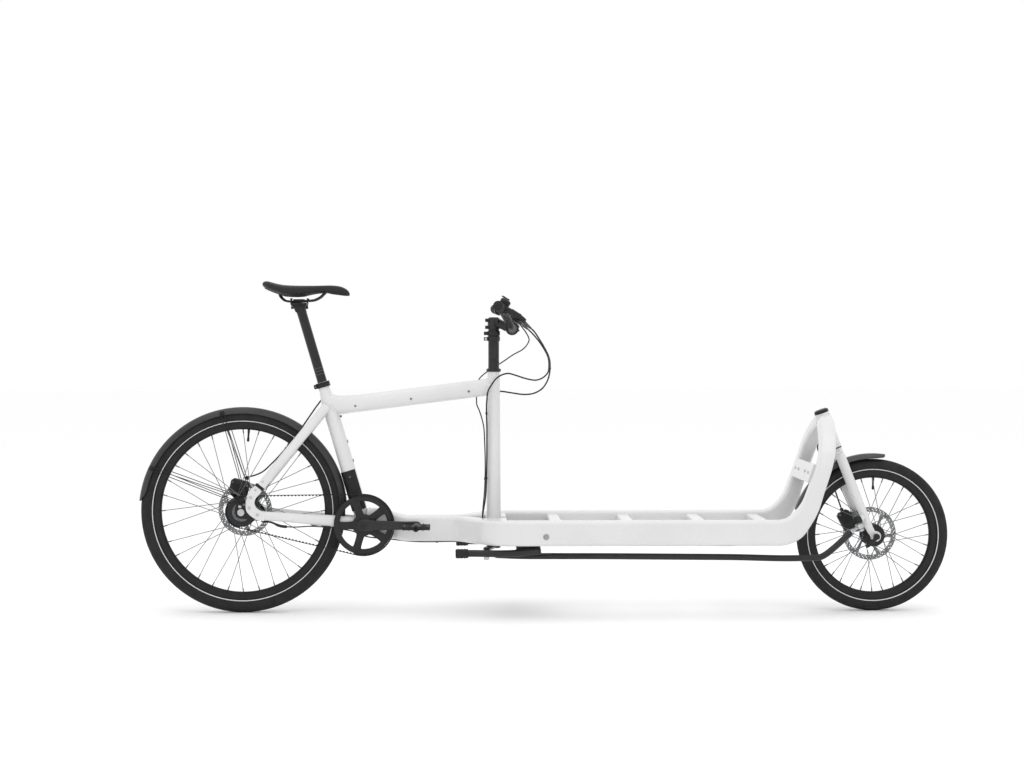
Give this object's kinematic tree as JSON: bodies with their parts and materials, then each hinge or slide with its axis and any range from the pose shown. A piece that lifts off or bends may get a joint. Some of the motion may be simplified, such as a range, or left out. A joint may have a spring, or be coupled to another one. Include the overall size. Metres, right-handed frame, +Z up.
{
  "type": "front-loading cargo bicycle",
  "caption": "Front-loading cargo bicycle with a long low load bed, rod-linked front wheel, belt drive, disc brakes, folding stand and height-adjustable saddle.",
  "frame": {"origin": "on the ground, at the middle of the bicycle's overall length and width", "axes": "+X towards the front wheel, +Y to the rider's left, +Z up"},
  "size_m": [2.602, 0.6344, 1.062],
  "materials": {
    "frame_white": "gloss white powder coat and lacquer",
    "black_metal": "satin black anodised or painted metal",
    "silver_metal": "bright stainless steel",
    "rubber": "matt black rubber",
    "black_plastic": "fine-grained black plastic",
    "hose": "smooth black cable sheath",
    "saddle_cover": "dark grey synthetic cover"
  },
  "bodies": {
    "frame": {"seat_tube": "frame_white", "seat_clamp": "black_metal", "steering_tube": "frame_white", "top_tube": "frame_white", "rail_left": "frame_white", "rail_right": "frame_white", "cross_member_1": "frame_white", "cross_member_2": "frame_white", "cross_member_3": "frame_white", "cross_member_4": "frame_white", "head_tube": "frame_white", "front_brace": "frame_white", "chainstay_right": "frame_white", "seatstay_right": "frame_white", "axle_plate_right": "black_metal", "rear_stay_left": "frame_white", "rear_axle": "silver_metal", "rear_caliper": "black_metal", "rear_fender": "black_plastic", "belt": "rubber", "stand_bracket": "black_metal", "front_hose": "hose", "rear_hose": "hose", "gear_cable": "hose"},
    "rear_wheel": {"rear_tyre": "rubber", "rear_rim": "black_metal", "rear_hub": "black_metal", "rear_spokes_left": "silver_metal", "rear_spokes_right": "silver_metal", "rear_rotor": "silver_metal"},
    "rear_sprocket": {"rear_sprocket": "black_metal"},
    "crankset": {"belt_ring": "black_metal", "crank_right": "black_metal", "crank_left": "black_metal"},
    "pedal_right": {"pedal_right": "black_plastic"},
    "pedal_left": {"pedal_left": "black_plastic"},
    "seat": {"seatpost": "black_metal", "saddle": "saddle_cover"},
    "steering": {"steering_column": "black_metal", "stem": "black_metal", "handlebar": "black_metal", "grip_left": "rubber", "grip_right": "rubber", "brake_housing_left": "black_metal", "brake_housing_right": "black_metal"},
    "brake_lever_left": {"brake_lever_left": "black_metal"},
    "brake_lever_right": {"brake_lever_right": "black_metal"},
    "shift_lever": {"shift_lever": "black_plastic"},
    "push_rod": {"push_rod": "black_metal"},
    "fork": {"fork": "frame_white", "front_fender": "black_plastic", "front_caliper": "black_metal"},
    "front_wheel": {"front_tyre": "rubber", "front_rim": "black_metal", "front_hub": "black_metal", "front_spokes_left": "silver_metal", "front_spokes_right": "silver_metal", "front_rotor": "silver_metal"},
    "front_axle": {"front_axle": "black_metal"},
    "stand": {"stand": "black_metal"}
  },
  "joints": [
    {"name": "rear_wheel_spin", "type": "hinge", "parent": "frame", "child": "rear_wheel", "pos_m": [-0.97, 0, 0.3265], "axis": [0, 1, 0], "continuous": true},
    {"name": "crank_spin", "type": "hinge", "parent": "frame", "child": "crankset", "pos_m": [-0.583, 0, 0.284], "axis": [0, 1, 0], "continuous": true},
    {"name": "sprocket_spin", "type": "hinge", "parent": "frame", "child": "rear_sprocket", "pos_m": [-0.97, 0, 0.3265], "axis": [0, 1, 0], "continuous": true},
    {"name": "pedal_right_spin", "type": "hinge", "parent": "crankset", "child": "pedal_right", "pos_m": [-0.413, -0.13, 0.284], "axis": [0, 1, 0], "continuous": true},
    {"name": "pedal_left_spin", "type": "hinge", "parent": "crankset", "child": "pedal_left", "pos_m": [-0.753, 0.13, 0.284], "axis": [0, 1, 0], "continuous": true},
    {"name": "seatpost_slide", "type": "slide", "parent": "frame", "child": "seat", "axis": [-0.2815, 0, 0.9596], "range_m": [-0.1, 0.1]},
    {"name": "steering_turn", "type": "hinge", "parent": "frame", "child": "steering", "pos_m": [-0.167, 0, 0.309], "axis": [0, 0, 1], "range_deg": [-35, 35], "deforming": ["front_hose", "rear_hose", "gear_cable"]},
    {"name": "brake_lever_left_pull", "type": "hinge", "parent": "steering", "child": "brake_lever_left", "pos_m": [-0.104, 0.163, 0.941], "axis": [0.53, 0, 0.848], "range_deg": [0, 15], "stiffness_Nm_per_rad": 1.5, "springref_deg": -17.19},
    {"name": "brake_lever_right_pull", "type": "hinge", "parent": "steering", "child": "brake_lever_right", "pos_m": [-0.104, -0.163, 0.941], "axis": [-0.53, 0, -0.848], "range_deg": [0, 15], "stiffness_Nm_per_rad": 1.5, "springref_deg": -17.19},
    {"name": "shift_lever_push", "type": "hinge", "parent": "steering", "child": "shift_lever", "pos_m": [-0.12611, -0.154, 1.00255], "axis": [0.53, 0, 0.848], "range_deg": [-12, 12], "stiffness_Nm_per_rad": 0.6},
    {"name": "push_rod_swing", "type": "hinge", "parent": "steering", "child": "push_rod", "pos_m": [-0.191, -0.102, 0.196], "axis": [0.0068, 0.0307, 0.9995], "range_deg": [-35.5, 35.5]},
    {"name": "fork_turn", "type": "hinge", "parent": "frame", "child": "fork", "pos_m": [0.9325, 0, 0.526], "axis": [-0.34, 0, 0.9404], "range_deg": [-35.5, 35.5], "deforming": ["front_hose"]},
    {"name": "front_wheel_spin", "type": "hinge", "parent": "fork", "child": "front_wheel", "pos_m": [1.056, 0, 0.245], "axis": [0, 1, 0], "continuous": true},
    {"name": "front_axle_lever", "type": "hinge", "parent": "fork", "child": "front_axle", "pos_m": [1.056, 0, 0.245], "axis": [0, 1, 0], "range_deg": [-40, 120]},
    {"name": "stand_fold", "type": "hinge", "parent": "frame", "child": "stand", "pos_m": [-0.033, 0, 0.214], "axis": [0, -1, 0], "range_deg": [0, 100]}
  ],
  "couplings": [
    {"joint": "sprocket_spin", "follows": "crank_spin", "ratio": 1.9643},
    {"joint": "fork_turn", "follows": "steering_turn", "ratio": 1},
    {"joint": "push_rod_swing", "follows": "steering_turn", "ratio": -1}
  ]
}
